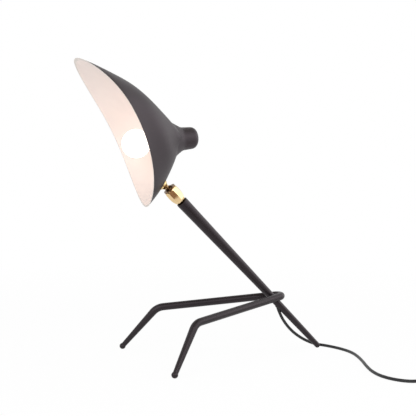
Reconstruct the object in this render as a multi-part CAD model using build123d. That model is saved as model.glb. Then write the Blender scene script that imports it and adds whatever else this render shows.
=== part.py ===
from build123d import *
import math
import os

# An adjustable desk lamp: a shell shade on a brass ball swivel, a tapered stem whose lower end is the
# rear leg, and one rod bent round the stem into a hoop whose two ends are the front legs.
# Millimetres. The origin is on the floor, at the middle of the lamp without its cord. X runs towards the
# rear foot, Y across the two front feet, Z up.

# Allowances
push_fit = 0.03
running_fit = 0.06
free_gap = 0.3
overrun = 2.0

# Stem
rear_reach = 211.0
stem_length = 355.0
stem_angle = 45.2
stem_foot_diameter = 9.1
stem_top_diameter = 19.4
stem_wall = 1.3
foot_flat = 0.35
rear_tip_spigot = 9.0
top_plug_length = 18.0
top_plug_recess = 3.0
top_plug_bore = 10.0

# Front legs
rod_diameter = 12.4
leg_end_diameter = 8.4
hoop_on_stem = 124.6
hoop_radius = 11.7
hoop_contact_gap = 0.12
rod_rise = 6.3
rod_reach = 179.0
rod_spread = 22.0
leg_forward = 49.3
leg_outward = 36.6
knee_radius = 26.0
ball_foot_diameter = 10.4
leg_pin_diameter = 4.6
leg_pin_length = 4.0
braze_reach = 9.6

# Cord exit in the stem
cord_diameter = 5.0
exit_on_stem = 112.0
exit_slope = 75.0
grommet_wall = 1.2
grommet_lip = 0.8
grommet_inside = 5.5
exit_run = 18.6

# Swivel
socket_flats = 8
socket_length = 31.6
socket_narrow_across = 10.4
socket_wide_across = 21.7
socket_belly_shares = [(0.0, 0.0), (0.1, 0.24), (0.25, 0.63), (0.45, 0.93), (0.7, 1.0), (1.0, 0.9)]
socket_chamfer = 0.8
socket_chamfer_height = 3.4
spigot_length = 15.0
ball_diameter = 16.0
ball_depth = 1.2
lead_bore = 6.4
ring_height = 2.2
ring_overhang = 0.2
ring_skirt_length = 3.0
ring_skirt_wall = 0.7
cup_seat_depth = 4.2
cup_height = 5.0
disc_spring_thickness = 0.8
disc_spring_rise = 0.8
disc_spring_bore = 8.6
ball_stub_diameter = 8.4
ball_stub_end = 9.2
ball_bore = 7.2
neck_angle = 32.0
neck_waist_diameter = 9.8
neck_rim_diameter = 17.2
neck_length = 17.2
neck_thread_diameter = 10.0
neck_thread_length = 9.6
neck_rim_lift = 1.6
neck_waist_length = 0.4
neck_rim_thickness = 2.5
neck_flare_start = 22.0
neck_spigot_start = 4.5
neck_thread_relief = 0.6
saddle_diameter = 16.0
saddle_height = 3.4
nut_thickness = 3.0
nut_across = 14.0
nut_sides = 6

# Shade
shade_angle = 64.0
shade_length = 257.0
shade_width = 153.4
shade_depth = 101.6
shade_wall = 1.4
rim_sag = 24.6
neck_seat_share = 0.0772
neck_seat_depth_share = 0.3925
# Each section of the shell: its height as a share of the depth, where its lower end, widest place and
# upper end lie as shares of the length, and its half width as a share of the rim's.
shell_section_shares = [
    (-0.100, -0.018, 0.640, 1.045, 1.04),
    (0.000, 0.000, 0.637, 1.000, 1.07),
    (0.125, 0.022, 0.632, 0.946, 1.085),
    (0.240, 0.043, 0.620, 0.892, 1.035),
    (0.470, 0.100, 0.550, 0.780, 0.90),
    (0.690, 0.167, 0.460, 0.623, 0.68),
    (0.850, 0.222, 0.368, 0.467, 0.45),
    (0.945, 0.249, 0.300, 0.352, 0.26),
]
shell_apex_shares = (0.296, 0.992)
lower_round_share = 0.56
upper_round_share = 0.63

# Housing at the shade's back
housing_end_s_share = 0.2379
housing_end_h_share = 1.238
housing_lean = 20.5
housing_end_diameter = 34.0
housing_base_diameter = 38.0
housing_taper_length = 32.0
housing_depth_share = 0.7
housing_end_round = 10.0
housing_flare_at = 23.0
housing_flare_radius = 14.0
housing_flare_turn = 28.0
housing_fillet = 18.0

# Lampholder and bulb, along the housing's axis from its outer end
boss_diameter = 13.6
boss_length = 6.0
nipple_diameter = 10.0
nipple_bore = 6.8
holder_base_at = 27.0
holder_base_length = 14.0
holder_base_diameter = 27.0
holder_sleeve_length = 28.0
holder_sleeve_diameter = 25.0
holder_wall = 2.2
holder_floor = 4.0
screw_shell_diameter = 15.2
screw_shell_wall = 0.5
screw_shell_length = 20.0
contact_width = 5.0
contact_thickness = 0.6
contact_height = 3.2
bulb_cap_diameter = 13.9
bulb_cap_length = 21.0
bulb_cap_at = 49.0
bulb_tip_diameter = 5.0
bulb_tip_length = 2.0
bulb_neck_diameter = 18.0
bulb_diameter = 45.0
bulb_centre_at = 102.8
bulb_wall = 0.9
bulb_glass_overlap = 4.0

# Leads inside the lamp
stem_lead_diameter = 5.0
stem_lead_bend = 20.0
head_lead_diameter = 4.2
lead_bend_radius = 4.5
head_lead_reach = 15.4
head_lead_entry_at = 38.0
head_lead_entry_run = 5.0
head_lead_entry_depth = 2.5

# In-line switch
switch_length = 58.0
switch_width = 25.0
switch_base_height = 8.0
switch_cover_height = 7.6
switch_wall = 1.6
switch_corner = 9.0
switch_edge_round = 2.0
rocker_length = 19.0
rocker_width = 11.0
rocker_rise = 4.0
rocker_dip = 1.1
rocker_skirt = 1.2
rocker_depth = 3.4
rocker_foot_width = 4.4
rocker_tilt = 8.0
rocker_gap = 0.7
rocker_pivot_drop = 2.6
rocker_pivot_diameter = 3.0
lug_thickness = 2.2
lug_width = 7.0
lug_depth = 3.0
post_diameter = 5.4
switch_screw_diameter = 2.6
switch_screw_head = 4.4
switch_screw_head_height = 1.6
switch_screw_length = 11.0
switch_screw_along = 18.0
switch_screw_across = 6.6
terminal_length = 8.0
terminal_width = 5.0
terminal_height = 4.6
terminal_along = 12.0
terminal_across = 4.0
terminal_hole = 2.4
lever_width = 4.0
lever_thickness = 0.6

# Cord route from the stem to the switch, and the points between the switch and the coil
cord_route = [
    (154.5, 5.0, 36.5),
    (171.0, 9.5, 23.5),
    (191.0, 15.0, 11.0),
    (210.0, 16.0, 3.4),
    (228.0, 6.2, 2.6),
    (236.5, -13.2, 2.55),
    (238.5, -42.0, 2.5),
    (236.0, -71.0, 2.5),
    (228.0, -103.0, 2.5),
    (215.5, -138.0, 2.5),
    (202.0, -172.0, 2.5),
    (190.5, -206.0, 2.5),
    (185.0, -240.0, 2.5),
    (191.5, -271.0, 2.5),
    (209.0, -294.0, 3.0),
    (230.0, -304.5, 8.0),
    (251.0, -308.0, 8.0),
]
switch_to_coil_route = [
    (326.0, -320.5, 8.0),
    (347.5, -312.0, 4.6),
]
arc_share = 0.45

# Coil of the put-away length
coil_centre = (335.0, -258.6)
coil_inner_radius = 21.5
coil_pitch = 5.6
coil_turns = 6
steps_per_turn = 4
climb_turns = 0.5
coil_start_angle = -15.0
coil_lead_in = 17.0
tail_route = [(16.0, 0.0), (32.0, 1.6), (46.0, 2.4), (58.0, 2.4)]
tie_thickness = 1.0
tie_width = 7.0
tie_gap = 0.3
tie_side_gap = 0.8
tie_angle = 150.0

# Plug
plug_length = 36.0
plug_width = 35.0
plug_nose_width = 26.0
plug_tail_width = 17.0
plug_shoulder_share = 0.55
plug_height = 14.0
plug_round = 3.0
relief_length = 26.0
relief_end_diameter = 7.0
relief_root_diameter = 11.0
relief_sunk = 3.0
pin_diameter = 4.0
pin_length = 19.0
pin_spacing = 18.6
pin_root_length = 8.0

nodes = {}


def spun(points):
    """A solid of revolution about Z from an outline of (radius, height) points."""
    return revolve(Plane.XZ * make_face(Polyline(*points, close=True)), Axis.Z)


def prism(across, sides, height):
    """A regular prism that stands on Z = 0, sized across its flats."""
    return extrude(RegularPolygon(across / 2, sides, major_radius=False), height)


def route_wire(points):
    """Straight runs joined by tangent arcs, each as large as its two runs allow."""
    radii = []
    for before, here, after in zip(points, points[1:], points[2:]):
        run_in = Vector(*here) - Vector(*before)
        run_out = Vector(*after) - Vector(*here)
        half_turn = math.radians(run_in.get_angle(run_out)) / 2
        radii.append(arc_share * min(run_in.length, run_out.length) / math.tan(half_turn))
    return FilletPolyline(*points, radius=radii), radii


def tube_along(path, diameter, name):
    """A round solid along a path, with its volume set against its section times its length."""
    section = Plane(origin=path @ 0, z_dir=path % 0) * Circle(diameter / 2)
    tube = sweep(section, path=path)
    expected = section.area * path.length
    print(f"{name}: {path.length:.1f} mm long, volume {tube.volume / expected:.4f} of section times length")
    return tube


# Frames that the pieces are built in
stem_lean = math.radians(stem_angle)
stem_up = Vector(-math.cos(stem_lean), 0, math.sin(stem_lean))
stem_back = Vector(math.sin(stem_lean), 0, math.cos(stem_lean))
rear_tip_radius = stem_foot_diameter / 2
rear_centre = Vector(rear_reach, 0, rear_tip_radius - foot_flat)


def on_stem(distance):
    """The frame on the stem's axis, that far above the rear tip's centre."""
    return Plane(origin=rear_centre + stem_up * distance, x_dir=stem_back, z_dir=stem_up)


def stem_radius(distance):
    """The stem's outer radius, that far above the rear tip's centre."""
    share = distance / stem_length
    return (stem_foot_diameter + (stem_top_diameter - stem_foot_diameter) * share) / 2


def below_floor(size):
    """A block under the floor, to cut flats on what stands on it."""
    return Pos(0, 0, -size / 2) * Box(size, size, size)


stem_frame = on_stem(0)
floor_block = below_floor(rear_reach * 4)

# Stem tube
top_radius = stem_radius(stem_length)
bore_at_top = top_radius - stem_wall
bore_at_foot = rear_tip_radius - stem_wall
stem_skin = spun([(0, 0), (rear_tip_radius, 0), (top_radius, stem_length), (0, stem_length)])
stem_bore = spun([(0, 0), (bore_at_foot, 0), (bore_at_top, stem_length), (0, stem_length)])
exit_lean = math.radians(exit_slope)
exit_down = Vector(math.cos(exit_lean), 0, -math.sin(exit_lean))
exit_start = on_stem(exit_on_stem).origin
exit_frame = Plane(origin=exit_start, x_dir=(0, 1, 0), z_dir=exit_down)
grommet_radius = cord_diameter / 2 + grommet_wall
exit_slant = abs(exit_down.dot(stem_back))
exit_length = stem_radius(exit_on_stem) / exit_slant
exit_reach = exit_length + grommet_radius / exit_slant
exit_hole = exit_frame.location * extrude(Circle(grommet_radius), exit_reach + overrun)
stem_tube = stem_frame.location * (stem_skin - stem_bore) - exit_hole
nodes["stem_tube"] = stem_tube

# Rear tip, a plug with a round end that stands on the floor
tip_spigot_top = bore_at_foot + (bore_at_top - bore_at_foot) * rear_tip_spigot / stem_length
tip_spigot = spun([
    (0, 0),
    (bore_at_foot - push_fit, 0),
    (tip_spigot_top - push_fit, rear_tip_spigot),
    (0, rear_tip_spigot),
])
tip_dome = Sphere(rear_tip_radius) & Pos(0, 0, -rear_tip_radius) * Cylinder(
    rear_tip_radius, stem_foot_diameter
)
nodes["rear_foot_tip"] = stem_frame.location * (tip_dome + tip_spigot) - floor_block

# Hoop and front legs: one rod, bent round the stem and down to the two front feet
rise = math.radians(rod_rise)
rod_back = Vector(math.cos(rise), 0, math.sin(rise))
rod_radius = rod_diameter / 2
spread = math.radians(rod_spread)
crossing = on_stem(hoop_on_stem).origin
crossing_slant = math.sin(stem_lean + rise)
hoop_offset = (rod_radius + stem_radius(hoop_on_stem) + hoop_contact_gap) / crossing_slant - hoop_radius
hoop_centre = crossing + rod_back * hoop_offset
ball_foot_radius = ball_foot_diameter / 2
foot_height = ball_foot_radius - foot_flat


def rod_plane_point(back, across):
    """A point in the rods' sloping plane, from the hoop's centre."""
    return hoop_centre + rod_back * back + Vector(0, across, 0)


def leg_points(side):
    """Where one leg's straight stretches start, turn and end."""
    touch = rod_plane_point(hoop_radius * math.sin(spread), side * hoop_radius * math.cos(spread))
    across = hoop_radius * math.cos(spread) + (hoop_radius * math.sin(spread) + rod_reach) * math.tan(spread)
    knee = rod_plane_point(-rod_reach, side * across)
    foot = Vector(knee.X - leg_forward, knee.Y + side * leg_outward, foot_height)
    return touch, knee, foot


def knee_ends(touch, knee, foot):
    """Where the bend that turns a rod down into a leg starts and ends."""
    rod_run = (touch - knee).normalized()
    leg_run = (foot - knee).normalized()
    turn = math.pi - math.radians(rod_run.get_angle(leg_run))
    setback = knee_radius * math.tan(turn / 2)
    return knee + rod_run * setback, knee + leg_run * setback


touch_far, knee_far, foot_far = leg_points(1)
touch_near, knee_near, foot_near = leg_points(-1)
rod_end_far, leg_start_far = knee_ends(touch_far, knee_far, foot_far)
rod_end_near, leg_start_near = knee_ends(touch_near, knee_near, foot_near)
hoop_back = rod_plane_point(hoop_radius, 0)
rod_path = Wire([
    TangentArc(leg_start_far, rod_end_far, tangent=knee_far - leg_start_far),
    Line(rod_end_far, touch_far),
    ThreePointArc(touch_far, hoop_back, touch_near),
    Line(touch_near, rod_end_near),
    TangentArc(rod_end_near, leg_start_near, tangent=knee_near - rod_end_near),
])
leg_hoop = sweep(Plane(origin=rod_path @ 0, z_dir=rod_path % 0) * Circle(rod_radius), path=rod_path)
for node, leg_start, foot in [
    ("front_foot_far", leg_start_far, foot_far),
    ("front_foot_near", leg_start_near, foot_near),
]:
    leg_run = foot - leg_start
    leg_length = leg_run.length - ball_foot_radius / 2
    leg_frame = Plane(origin=leg_start, z_dir=leg_run)
    leg_hoop += Solid.make_cone(rod_radius, leg_end_diameter / 2, leg_length, leg_frame)
    pin_frame = Plane(origin=leg_start + leg_run.normalized() * leg_length, z_dir=leg_run)
    leg_pin_radius = leg_pin_diameter / 2
    leg_hoop += Solid.make_cylinder(leg_pin_radius, leg_pin_length, pin_frame)
    ball = Pos(*foot) * Sphere(ball_foot_radius)
    ball -= Solid.make_cone(rod_radius + push_fit, leg_end_diameter / 2 + push_fit, leg_length, leg_frame)
    ball -= Solid.make_cylinder(leg_pin_radius + push_fit, leg_pin_length, pin_frame)
    nodes[node] = ball - floor_block
nodes["leg_hoop"] = leg_hoop

# Braze that joins the hoop to the stem, at the hoop's back and where each rod passes the stem
braze = Part()
for joint in [hoop_back, touch_far, touch_near]:
    lump = Pos(*((joint + crossing) / 2)) * Sphere(braze_reach / 2)
    braze += lump
braze = braze - leg_hoop - stem_frame.location * stem_skin
nodes["hoop_braze"] = braze

# Plug in the stem's top end, which carries the swivel
plug_top = stem_length - top_plug_recess
plug_foot = plug_top - top_plug_length
plug_bore_radius = top_plug_bore / 2
nodes["stem_top_plug"] = stem_frame.location * spun([
    (plug_bore_radius, plug_foot),
    (stem_radius(plug_foot) - stem_wall - push_fit, plug_foot),
    (stem_radius(plug_top) - stem_wall - push_fit, plug_top),
    (plug_bore_radius, plug_top),
])

# Swivel socket: a faceted brass body with a spigot below and the ball's seat above
socket_frame = on_stem(plug_top)
ball_radius = ball_diameter / 2
seat_radius = ball_radius + running_fit
cavity_radius = ball_radius + free_gap
ball_at = socket_length - ball_depth
cup_top = ball_at - cup_seat_depth
cup_foot = cup_top - cup_height
spring_height = disc_spring_thickness + disc_spring_rise
cavity_floor = cup_foot - running_fit - spring_height
lead_bore_radius = lead_bore / 2
belly_rise = socket_wide_across - socket_narrow_across
corner_radius = socket_wide_across / 2 / math.cos(math.pi / socket_flats)
mouth_across = socket_narrow_across + belly_rise * socket_belly_shares[-1][1]
mouth_radius = mouth_across / 2 / math.cos(math.pi / socket_flats) - socket_chamfer
skirt_radius = cavity_radius + ring_skirt_wall
socket_sections = []
for height_share, width_share in socket_belly_shares:
    across = socket_narrow_across + belly_rise * width_share
    flats = RegularPolygon(across / 2, socket_flats, major_radius=False)
    socket_sections.append(Pos(0, 0, height_share * socket_length) * flats)
socket = loft(socket_sections)
socket &= spun([
    (0, 0),
    (corner_radius, 0),
    (corner_radius, socket_length - socket_chamfer_height),
    (mouth_radius, socket_length),
    (0, socket_length),
])
spigot_radius = plug_bore_radius - push_fit
socket += spun([(0, -spigot_length), (spigot_radius, -spigot_length), (spigot_radius, 0), (0, 0)])
socket -= spun([
    (0, -spigot_length - overrun),
    (lead_bore_radius, -spigot_length - overrun),
    (lead_bore_radius, cavity_floor),
    (cavity_radius, cavity_floor),
    (cavity_radius, socket_length - ring_skirt_length),
    (skirt_radius, socket_length - ring_skirt_length),
    (skirt_radius, socket_length + overrun),
    (0, socket_length + overrun),
])
nodes["swivel_socket"] = socket_frame.location * socket

# Ring screwed into the socket's mouth, whose lip keeps the ball in
ball_place = Pos(0, 0, ball_at)
ring = spun([
    (0, socket_length - ring_skirt_length),
    (skirt_radius - push_fit, socket_length - ring_skirt_length),
    (skirt_radius - push_fit, socket_length),
    (mouth_radius + ring_overhang, socket_length),
    (mouth_radius + ring_overhang, socket_length + ring_height),
    (0, socket_length + ring_height),
])
ring -= ball_place * Sphere(seat_radius)
ring -= spun([
    (0, socket_length - ring_skirt_length - overrun),
    (cavity_radius, socket_length - ring_skirt_length - overrun),
    (cavity_radius, ball_at),
    (0, ball_at),
])
nodes["swivel_ring"] = socket_frame.location * ring

# Friction cup under the ball, and the disc spring that presses it up
cup_radius = cavity_radius - running_fit
cup = spun([(0, cup_foot), (cup_radius, cup_foot), (cup_radius, cup_top), (0, cup_top)])
cup -= ball_place * Sphere(seat_radius)
cup -= Pos(0, 0, cup_foot) * Cylinder(lead_bore_radius, cup_height * 2)
nodes["swivel_cup"] = socket_frame.location * cup
spring_radius = cavity_radius - free_gap
nodes["disc_spring"] = socket_frame.location * Pos(0, 0, cavity_floor) * spun([
    (spring_radius, 0),
    (spring_radius, disc_spring_thickness),
    (disc_spring_bore / 2, spring_height),
    (disc_spring_bore / 2, disc_spring_rise),
])

# Ball, on the neck's axis
neck_lean = math.radians(neck_angle)
neck_up = Vector(-math.cos(neck_lean), 0, math.sin(neck_lean))
ball_centre = on_stem(plug_top + ball_at).origin
neck_frame = Plane(origin=ball_centre, x_dir=(0, 1, 0), z_dir=neck_up)
stub_radius = ball_stub_diameter / 2
ball = Sphere(ball_radius) + spun([(0, 0), (stub_radius, 0), (stub_radius, ball_stub_end), (0, ball_stub_end)])
ball -= Cylinder(ball_bore / 2, (ball_diameter + ball_stub_end) * 2)
nodes["swivel_ball"] = neck_frame.location * ball

# The shade's own frame: x from its lower tip to its upper tip, z towards its back
shade_lean = math.radians(shade_angle)
along_shade = Vector(-math.cos(shade_lean), 0, math.sin(shade_lean))
behind_shade = Vector(math.sin(shade_lean), 0, math.cos(shade_lean))
neck_seat = ball_centre + neck_up * neck_length
seat_along = neck_seat_share * shade_length
seat_behind = neck_seat_depth_share * shade_depth
lower_tip = neck_seat - along_shade * seat_along - behind_shade * seat_behind
shade_frame = Plane(origin=lower_tip, x_dir=along_shade, z_dir=behind_shade)


def shell_section(shares, inset):
    """One egg-shaped section of the shell, drawn in and lowered by the inset."""
    height_share, low_share, wide_share, high_share, width_share = shares
    low = low_share * shade_length + inset
    wide = wide_share * shade_length
    high = high_share * shade_length - inset
    half = width_share * shade_width / 2 - inset
    height = height_share * shade_depth - inset
    quarters = []
    for end, share, side in [
        (low, lower_round_share, 1),
        (high, upper_round_share, 1),
        (high, upper_round_share, -1),
        (low, lower_round_share, -1),
    ]:
        quarters.append(Bezier(
            (end, 0, height),
            (end, side * half * share, height),
            (wide + (end - wide) * share, side * half, height),
            (wide, side * half, height),
        ))
    return Wire(quarters)


def shell_dome(inset):
    """The shell's solid dome, from below its tips to the place that the housing covers."""
    sections = [shell_section(shares, inset) for shares in shell_section_shares]
    apex_s_share, apex_h_share = shell_apex_shares
    apex = Vertex(apex_s_share * shade_length, 0, apex_h_share * shade_depth - inset)
    return Solid.make_loft(sections + [apex])


# Housing at the back, whose axis carries the lampholder
housing_tilt = math.radians(housing_lean)
housing_end = Vector(housing_end_s_share * shade_length, 0, housing_end_h_share * shade_depth)
housing_in = Vector(math.sin(housing_tilt), 0, -math.cos(housing_tilt))
housing_side = Vector(math.cos(housing_tilt), 0, math.sin(housing_tilt))
housing_frame = Plane(origin=housing_end, x_dir=housing_side, z_dir=housing_in)
# The housing's solid reaches so far into the dome that its flat end stays buried there.
housing_depth = housing_depth_share * shade_depth


def housing_plug(inset):
    """The housing as a solid, from its rounded end, past its flared root, to inside the dome."""
    taper = math.atan2((housing_base_diameter - housing_end_diameter) / 2, housing_taper_length)
    flare = taper + math.radians(housing_flare_turn)
    flare_radius = housing_flare_radius + inset
    end_radius = housing_end_diameter / 2 - inset
    waist_radius = end_radius + housing_flare_at * math.tan(taper)
    root_radius = waist_radius + flare_radius * (math.cos(taper) - math.cos(flare))
    root_at = housing_flare_at + flare_radius * (math.sin(flare) - math.sin(taper))
    deep_radius = root_radius + (housing_depth - root_at) * math.tan(flare)
    waist = (waist_radius, housing_flare_at)
    root = (root_radius, root_at)
    outline = [
        Polyline((0, housing_depth), (0, inset), (end_radius, inset), waist),
        TangentArc(waist, root, tangent=(math.sin(taper), math.cos(taper))),
        Polyline(root, (deep_radius, housing_depth), (0, housing_depth)),
    ]
    body = revolve(Plane.XZ * make_face(outline), Axis.Z)
    end_edge = body.edges().filter_by(GeomType.CIRCLE).sort_by(Axis.Z)[0]
    return housing_frame.location * fillet(end_edge, housing_end_round - inset)


dome = shell_dome(0)
outer_housing = housing_plug(0)
outer = dome + outer_housing
seam = new_edges(dome, outer_housing, combined=outer)
outer = fillet(seam, housing_fillet)
inner_dome = shell_dome(shade_wall)
inner = inner_dome + housing_plug(shade_wall)
rim_radius = ((shade_length / 2) ** 2 + rim_sag ** 2) / 2 / rim_sag
rim_cut = Pos(shade_length / 2, 0, rim_sag - rim_radius) * Rot(90, 0, 0) * Cylinder(rim_radius, shade_width * 2)
neck_hole_radius = neck_thread_diameter / 2 + push_fit
neck_hole = neck_frame.location * extrude(Circle(neck_hole_radius), neck_length + neck_thread_length)
shade = shade_frame.location * (outer - inner - rim_cut) - neck_hole
nodes["shade_shell"] = shade
print(f"shade wall volume {shade.volume:.0f} in {len(shade.solids())} solid")

# Flared neck, seated on the shell, with a threaded end inside it
neck_bore_radius = head_lead_diameter / 2 + free_gap
neck_spigot_radius = ball_bore / 2 - running_fit
waist_radius = neck_waist_diameter / 2
rim_radius_of_neck = neck_rim_diameter / 2
waist_top = (waist_radius, ball_stub_end + neck_waist_length)
rim_foot = (rim_radius_of_neck, neck_length - neck_rim_thickness)
flare_start = math.radians(neck_flare_start)
flare_outline = [
    Polyline((0, ball_stub_end), (waist_radius, ball_stub_end), waist_top),
    TangentArc(waist_top, rim_foot, tangent=(math.sin(flare_start), math.cos(flare_start))),
    Polyline(
        rim_foot,
        (rim_radius_of_neck, neck_length + neck_rim_lift),
        (0, neck_length + neck_rim_lift),
        (0, ball_stub_end),
    ),
]
neck = neck_frame.location * revolve(Plane.XZ * make_face(flare_outline), Axis.Z)
neck -= shade_frame.location * dome
thread_radius = neck_thread_diameter / 2
neck_end = neck_length + neck_thread_length
neck += neck_frame.location * spun([
    (0, neck_spigot_start),
    (neck_spigot_radius, neck_spigot_start),
    (neck_spigot_radius, ball_stub_end),
    (thread_radius - neck_thread_relief, ball_stub_end),
    (thread_radius - neck_thread_relief, neck_length),
    (thread_radius, neck_length),
    (thread_radius, neck_end),
    (0, neck_end),
])
neck -= neck_frame.location * extrude(Circle(neck_bore_radius), neck_end + overrun)
nodes["shade_neck"] = neck

# Saddle washer and lock nut that hold the neck in the shell
saddle_top = neck_length + saddle_height
saddle = neck_frame.location * extrude(Circle(saddle_diameter / 2), saddle_top)
saddle &= shade_frame.location * inner_dome
saddle -= neck_hole
nodes["neck_saddle_washer"] = saddle
lock_nut = Pos(0, 0, saddle_top) * prism(nut_across, nut_sides, nut_thickness)
lock_nut -= extrude(Circle(neck_hole_radius), neck_end + overrun)
nodes["neck_lock_nut"] = neck_frame.location * lock_nut

# Lampholder, on a threaded nipple from the housing's end
lamp_frame = shade_frame.location * housing_frame.location
nipple_radius = nipple_diameter / 2
nipple_foot = shade_wall
boss_end = nipple_foot + boss_length
nodes["holder_boss"] = lamp_frame * spun([
    (nipple_radius + push_fit, nipple_foot),
    (boss_diameter / 2, nipple_foot),
    (boss_diameter / 2, boss_end),
    (nipple_radius + push_fit, boss_end),
])
nipple_end = holder_base_at + holder_floor
nodes["holder_nipple"] = lamp_frame * spun([
    (nipple_bore / 2, nipple_foot),
    (nipple_radius, nipple_foot),
    (nipple_radius, nipple_end),
    (nipple_bore / 2, nipple_end),
])
holder_nut = Pos(0, 0, holder_base_at - nut_thickness) * prism(nut_across, nut_sides, nut_thickness)
holder_nut -= Cylinder(nipple_radius + push_fit, holder_base_at * 2 + overrun)
nodes["holder_lock_nut"] = lamp_frame * holder_nut
base_radius = holder_base_diameter / 2
base_end = holder_base_at + holder_base_length
lead_entry = Pos(0, 0, head_lead_entry_at) * Rot(0, -90, 0) * extrude(
    Circle(head_lead_diameter / 2 + push_fit), base_radius + overrun
)
holder_base = spun([
    (nipple_radius + push_fit, holder_base_at),
    (base_radius, holder_base_at),
    (base_radius, base_end),
    (base_radius - holder_wall, base_end),
    (base_radius - holder_wall, holder_base_at + holder_floor),
    (nipple_radius + push_fit, holder_base_at + holder_floor),
])
nodes["holder_base"] = lamp_frame * (holder_base - lead_entry)
sleeve_radius = holder_sleeve_diameter / 2
sleeve_end = base_end + holder_sleeve_length
shell_radius = screw_shell_diameter / 2
shell_outer = shell_radius + screw_shell_wall
holder_sleeve = spun([
    (shell_outer + push_fit, base_end),
    (sleeve_radius, base_end),
    (sleeve_radius, sleeve_end),
    (shell_outer + push_fit, sleeve_end),
])
nodes["holder_sleeve"] = lamp_frame * holder_sleeve
nodes["holder_screw_shell"] = lamp_frame * spun([
    (shell_radius, base_end),
    (shell_outer, base_end),
    (shell_outer, base_end + screw_shell_length),
    (shell_radius, base_end + screw_shell_length),
])
bridge_foot = base_end - contact_height
bridge = Rectangle(contact_width, holder_base_diameter) & Circle(base_radius - holder_wall - push_fit)
contact = Pos(0, 0, bridge_foot) * extrude(bridge, contact_thickness)
contact_end = bulb_cap_at - bulb_tip_length
contact += Pos(0, 0, bridge_foot) * extrude(Circle(bulb_tip_diameter / 2), contact_end - bridge_foot)
nodes["holder_contact"] = lamp_frame * contact

# Bulb: screw cap, contact tip and globe
cap_radius = bulb_cap_diameter / 2
cap_end = bulb_cap_at + bulb_cap_length
nodes["bulb_cap"] = lamp_frame * spun([
    (bulb_tip_diameter / 2, bulb_cap_at),
    (cap_radius, bulb_cap_at + bulb_tip_length),
    (cap_radius, cap_end),
    (cap_radius - bulb_wall, cap_end),
    (cap_radius - bulb_wall, bulb_cap_at + bulb_tip_length + bulb_wall),
    (bulb_tip_diameter / 2, bulb_cap_at + bulb_wall),
])
nodes["bulb_contact"] = lamp_frame * Pos(0, 0, contact_end) * extrude(
    Circle(bulb_tip_diameter / 2 - push_fit), bulb_tip_length + bulb_wall
)


def globe(inset):
    """The bulb's glass as a solid, drawn in by the inset."""
    radius = bulb_diameter / 2 - inset
    neck_radius = cap_radius - bulb_wall - push_fit - inset
    shoulder_radius = bulb_neck_diameter / 2 - inset
    root_at = cap_end - bulb_glass_overlap
    meet = math.sqrt(radius ** 2 - shoulder_radius ** 2)
    outline = [
        Polyline((0, root_at), (neck_radius, root_at), (neck_radius, cap_end)),
        Polyline((neck_radius, cap_end), (shoulder_radius, bulb_centre_at - meet)),
        ThreePointArc(
            (shoulder_radius, bulb_centre_at - meet),
            (radius, bulb_centre_at),
            (0, bulb_centre_at + radius),
        ),
        Line((0, bulb_centre_at + radius), (0, root_at)),
    ]
    return revolve(Plane.XZ * make_face(outline), Axis.Z)


nodes["bulb_globe"] = lamp_frame * (globe(0) - globe(bulb_wall))

# Leads inside the stem and inside the shade
exit_mouth = exit_start + exit_down * exit_length
stem_lead_path = FilletPolyline(
    exit_mouth,
    exit_start,
    on_stem(plug_top + cup_foot).origin,
    radius=stem_lead_bend,
)
nodes["stem_lead"] = tube_along(stem_lead_path, stem_lead_diameter, "stem lead")


def beside_lamp(outward, at):
    """A point beside the lampholder, on the side that the lead comes from."""
    return (lamp_frame * Pos(-outward, 0, at)).position


head_lead_path = FilletPolyline(
    neck_frame.origin + neck_up * neck_spigot_start,
    neck_frame.origin + neck_up * (neck_length + head_lead_reach),
    beside_lamp(base_radius + head_lead_entry_run, head_lead_entry_at),
    beside_lamp(base_radius - head_lead_entry_depth, head_lead_entry_at),
    radius=lead_bend_radius,
)
nodes["head_lead"] = tube_along(head_lead_path, head_lead_diameter, "head lead")

# Grommet in the stem's wall, where the cord comes out
lip_skin = spun([
    (0, 0),
    (rear_tip_radius + grommet_lip, 0),
    (top_radius + grommet_lip, stem_length),
    (0, stem_length),
])
lip_bore = spun([
    (0, 0),
    (bore_at_foot - grommet_lip, 0),
    (bore_at_top - grommet_lip, stem_length),
    (0, stem_length),
])
grommet_start = Pos(0, 0, exit_length - grommet_inside)
grommet = exit_frame.location * grommet_start * extrude(Circle(grommet_radius - push_fit), exit_reach)
grommet &= stem_frame.location * (lip_skin - lip_bore)
cord_radius = cord_diameter / 2
grommet -= exit_frame.location * extrude(Circle(cord_radius + push_fit), exit_reach + overrun)
nodes["cord_grommet"] = grommet

# Cord from the stem to the switch
first_route = [tuple(exit_mouth), tuple(exit_mouth + exit_down * exit_run)] + cord_route
first_path, first_radii = route_wire(first_route)
print("cord radii to the switch:", [round(radius, 1) for radius in first_radii])
nodes["cord_to_switch"] = tube_along(first_path, cord_diameter, "cord to switch")

# In-line switch, lying along the cord: x from its lamp end, z up from the floor
switch_end = Vector(*cord_route[-1])
switch_run = switch_end - Vector(*cord_route[-2])
switch_frame = Plane(
    origin=(switch_end.X, switch_end.Y, 0), x_dir=(switch_run.X, switch_run.Y, 0), z_dir=(0, 0, 1)
)
switch_middle = Pos(switch_length / 2, 0, 0)
switch_top = switch_base_height + switch_cover_height
outline = RectangleRounded(switch_length, switch_width, switch_corner)
hollow = RectangleRounded(
    switch_length - switch_wall * 2, switch_width - switch_wall * 2, switch_corner - switch_wall
)
screw_places = [
    Pos(switch_screw_along, switch_screw_across, 0),
    Pos(-switch_screw_along, -switch_screw_across, 0),
]
switch_screw_radius = switch_screw_diameter / 2
base = extrude(outline, switch_base_height)
base = fillet(base.faces().sort_by(Axis.Z)[0].edges(), switch_edge_round)
base -= Pos(0, 0, switch_wall) * extrude(hollow, switch_base_height)
cover = Pos(0, 0, switch_base_height) * extrude(outline, switch_cover_height)
cover = fillet(cover.faces().sort_by(Axis.Z)[-1].edges(), switch_edge_round)
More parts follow.
